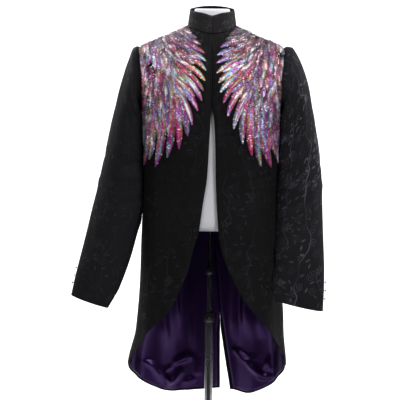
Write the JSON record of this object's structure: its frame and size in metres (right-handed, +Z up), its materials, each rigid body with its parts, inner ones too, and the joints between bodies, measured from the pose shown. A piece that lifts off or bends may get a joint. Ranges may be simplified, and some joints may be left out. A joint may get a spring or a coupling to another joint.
{
  "type": "tailcoat on a dress form",
  "caption": "Cutaway tailcoat with a stand collar and sequinned wings, standing on a limbless dress form with a telescopic pole and a round foot.",
  "frame": {"origin": "centre of the underside of the stand's foot, on the floor", "axes": "+Z up; the coat's front faces -Y; +X is the wearer's left"},
  "size_m": [0.6829, 0.33, 1.5073],
  "materials": {
    "black_jacquard": "black on black scroll jacquard",
    "purple_satin": "satin lining",
    "sequins": "iridescent sequins",
    "silver_metal": "polished",
    "white_jersey": "matt knit cover",
    "black_paint": "satin",
    "chromed_steel": "polished",
    "black_plastic": "moulded"
  },
  "bodies": {
    "stand": {"foot": "black_paint", "outer_tube": "chromed_steel", "lower_clamp": "black_plastic"},
    "lower_knob": {"lower_knob": "black_plastic"},
    "middle_tube": {"mid_tube": "chromed_steel", "upper_clamp": "black_plastic"},
    "upper_knob": {"upper_knob": "black_plastic"},
    "mannequin": {"rod": "chromed_steel", "form_flange": "black_paint", "dress_form": "white_jersey", "front_right": "black_jacquard", "front_left": "black_jacquard", "back_right": "black_jacquard", "back_left": "black_jacquard", "collar_stand": "black_jacquard", "upper_sleeve_right_top": "black_jacquard", "upper_sleeve_right_elbow": "black_jacquard", "upper_sleeve_right_forearm": "black_jacquard", "under_sleeve_right": "black_jacquard", "upper_sleeve_left": "black_jacquard", "under_sleeve_left": "black_jacquard", "lining_right": "purple_satin", "lining_left": "purple_satin", "wing_right": "sequins", "wing_left": "sequins", "cuff_button_right_1": "silver_metal", "cuff_button_right_2": "silver_metal", "cuff_button_right_3": "silver_metal", "cuff_button_left_1": "silver_metal", "cuff_button_left_2": "silver_metal", "cuff_button_left_3": "silver_metal"}
  },
  "joints": [
    {"name": "lower_slide", "type": "slide", "parent": "stand", "child": "middle_tube", "axis": [0, 0, 1], "range_m": [-0.09, 0.15]},
    {"name": "upper_slide", "type": "slide", "parent": "middle_tube", "child": "mannequin", "axis": [0, 0, 1], "range_m": [-0.09, 0.12]},
    {"name": "lower_knob_turn", "type": "hinge", "parent": "stand", "child": "lower_knob", "pos_m": [0, -0.03, 0.664], "axis": [0, -1, 0], "range_deg": [-180, 180]},
    {"name": "upper_knob_turn", "type": "hinge", "parent": "middle_tube", "child": "upper_knob", "pos_m": [0, -0.03, 0.797], "axis": [0, -1, 0], "range_deg": [-180, 180]}
  ]
}
